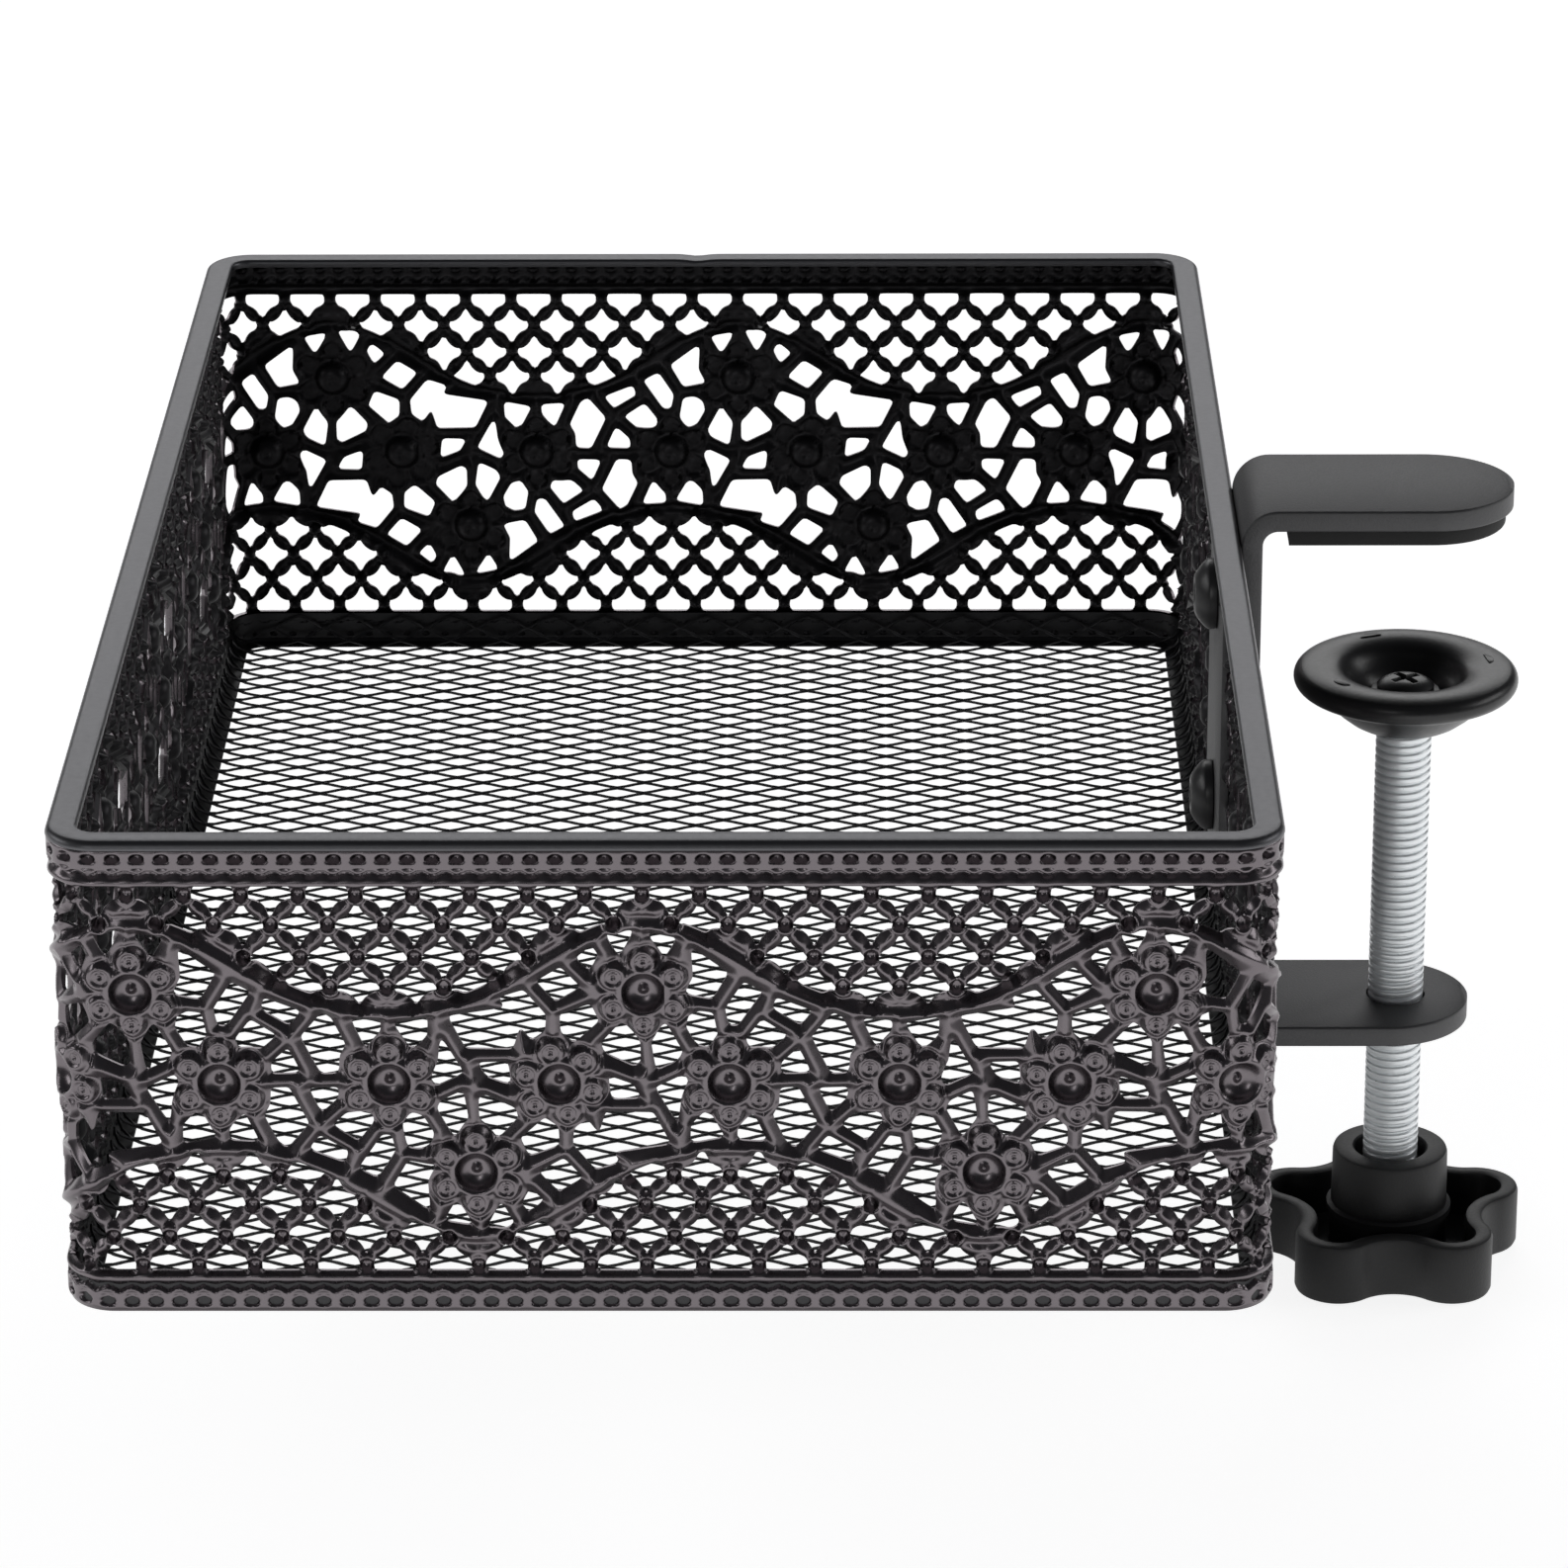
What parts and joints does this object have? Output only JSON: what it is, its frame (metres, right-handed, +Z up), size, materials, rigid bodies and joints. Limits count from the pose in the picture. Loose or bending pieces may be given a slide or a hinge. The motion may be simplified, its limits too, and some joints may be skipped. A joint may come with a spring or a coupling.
{
  "type": "clamp-on desk basket",
  "caption": "Rectangular lace-pattern steel desk basket with a mesh floor, hung beside the desk top by a C-shaped strap, a clamp screw with a swivel pad and a star knob.",
  "frame": {"origin": "on the clamp screw's axis, at the jaw pad's underside, which lies on the desk top", "axes": "+Z up, along the clamp screw; +X from the basket towards the desk; +Y along the basket's long side"},
  "size_m": [0.2502, 0.3, 0.1515],
  "materials": {
    "basket_steel": "satin black powder coat",
    "floor_steel": "satin black powder coat",
    "clamp_steel": "fine textured black powder coat",
    "black_screw": "black, satin",
    "pad_rubber": "matte",
    "zinc_screw": "bright zinc",
    "insert_brass": "turned",
    "knob_plastic": "fine grained",
    "swivel_plastic": "satin, moulded"
  },
  "bodies": {
    "basket": {"lace_front": "basket_steel", "lace_right": "basket_steel", "lace_back": "basket_steel", "lace_left": "basket_steel", "lace_corner_front_left": "basket_steel", "lace_corner_front_right": "basket_steel", "lace_corner_back_right": "basket_steel", "lace_corner_back_left": "basket_steel", "top_rim": "basket_steel", "floor_hem": "floor_steel", "floor_mesh": "floor_steel", "backing_plate": "clamp_steel", "wall_screws": "black_screw", "clamp_strap": "clamp_steel", "jaw_pad": "pad_rubber"},
    "washer": {"thrust_washer": "black_screw"},
    "screw": {"clamp_screw": "zinc_screw", "knob_insert": "insert_brass", "star_knob": "knob_plastic", "pad_spacer": "black_screw", "pad_screw": "black_screw"},
    "bush": {"pad_bush": "swivel_plastic"},
    "pad": {"swivel_pad": "swivel_plastic"}
  },
  "joints": [
    {"name": "screw_travel", "type": "slide", "parent": "basket", "child": "washer", "axis": [0, 0, 1], "range_m": [-0.049, 0.0265]},
    {"name": "screw_turn", "type": "hinge", "parent": "washer", "child": "screw", "pos_m": [0, 0, -0.088], "axis": [0, 0, 1], "range_deg": [-11762, 6362]},
    {"name": "pad_turn", "type": "hinge", "parent": "washer", "child": "bush", "pos_m": [0, 0, -0.0341], "axis": [0, 0, 1], "continuous": true},
    {"name": "pad_tilt", "type": "hinge", "parent": "bush", "child": "pad", "pos_m": [0, 0, -0.0341], "axis": [1, 0, 0], "range_deg": [-3, 3]}
  ],
  "couplings": [
    {"joint": "screw_turn", "follows": "screw_travel", "rad_per_m": 4188.8}
  ]
}
